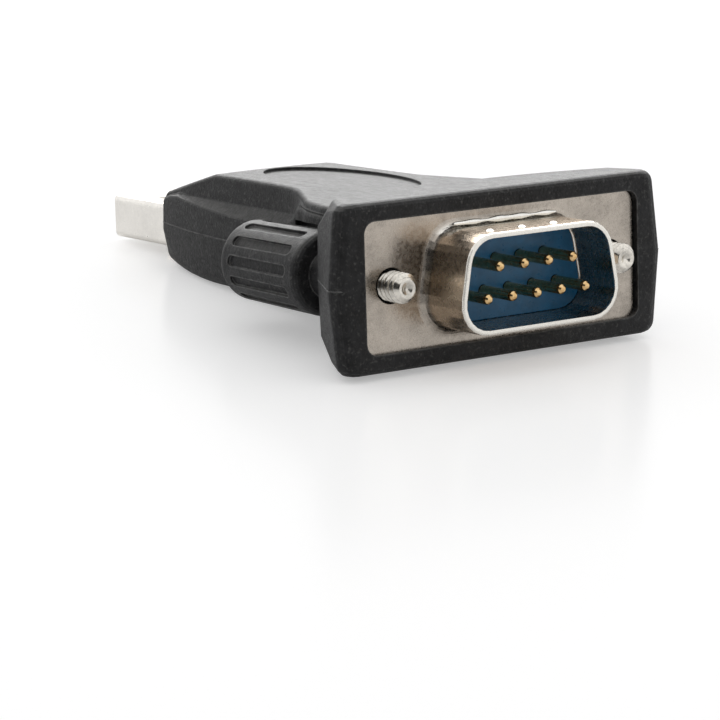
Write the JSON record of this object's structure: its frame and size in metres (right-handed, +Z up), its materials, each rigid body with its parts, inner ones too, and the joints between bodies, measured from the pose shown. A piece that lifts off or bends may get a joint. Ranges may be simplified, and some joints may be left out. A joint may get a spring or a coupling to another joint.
{
  "type": "usb to serial adapter module",
  "caption": "Moulded adapter with a male D-sub plug between two captive thumbscrews at one end and a type A USB plug at the other.",
  "frame": {"origin": "middle of the D-sub flange's front face, on the plugs' common axis", "axes": "+X from the D-sub plug to the USB plug, +Y across, +Z up; the long row of pins is below"},
  "size_m": [0.0665, 0.0376, 0.0156],
  "materials": {
    "hood": "soft matt moulding, fine grain",
    "knob": "matt moulding",
    "plated_steel": "nickel plated, slightly mottled",
    "screw_steel": "nickel plated",
    "usb_steel": "nickel plated",
    "blue_insulator": "smooth",
    "gold": "gold plated",
    "white_plastic": "smooth",
    "board": "solder mask",
    "chip": "matt",
    "can": "satin",
    "ceramic": "matt",
    "resistor": "matt"
  },
  "bodies": {
    "adapter": {"overmould": "hood", "plug_shell": "plated_steel", "rear_shell": "plated_steel", "insulator_front": "blue_insulator", "insulator_rear": "blue_insulator", "pin_1": "gold", "pin_2": "gold", "pin_3": "gold", "pin_4": "gold", "pin_5": "gold", "pin_6": "gold", "pin_7": "gold", "pin_8": "gold", "pin_9": "gold", "board": "board", "bridge_chip": "chip", "line_chip": "chip", "crystal": "can", "capacitor_1": "ceramic", "capacitor_2": "ceramic", "capacitor_3": "ceramic", "capacitor_4": "ceramic", "capacitor_5": "ceramic", "resistor_1": "resistor", "resistor_2": "resistor", "usb_shell": "usb_steel", "usb_tongue": "white_plastic", "usb_contact_1": "gold", "usb_contact_2": "gold", "usb_contact_3": "gold", "usb_contact_4": "gold"},
    "thumbscrew_left": {"screw_left": "screw_steel", "knob_left": "knob"},
    "thumbscrew_right": {"screw_right": "screw_steel", "knob_right": "knob"}
  },
  "joints": [
    {"name": "thumbscrew_left_spin", "type": "hinge", "parent": "adapter", "child": "thumbscrew_left", "pos_m": [0, 0.0125, 0], "axis": [1, 0, 0], "continuous": true},
    {"name": "thumbscrew_right_spin", "type": "hinge", "parent": "adapter", "child": "thumbscrew_right", "pos_m": [0, -0.0125, 0], "axis": [1, 0, 0], "continuous": true}
  ]
}
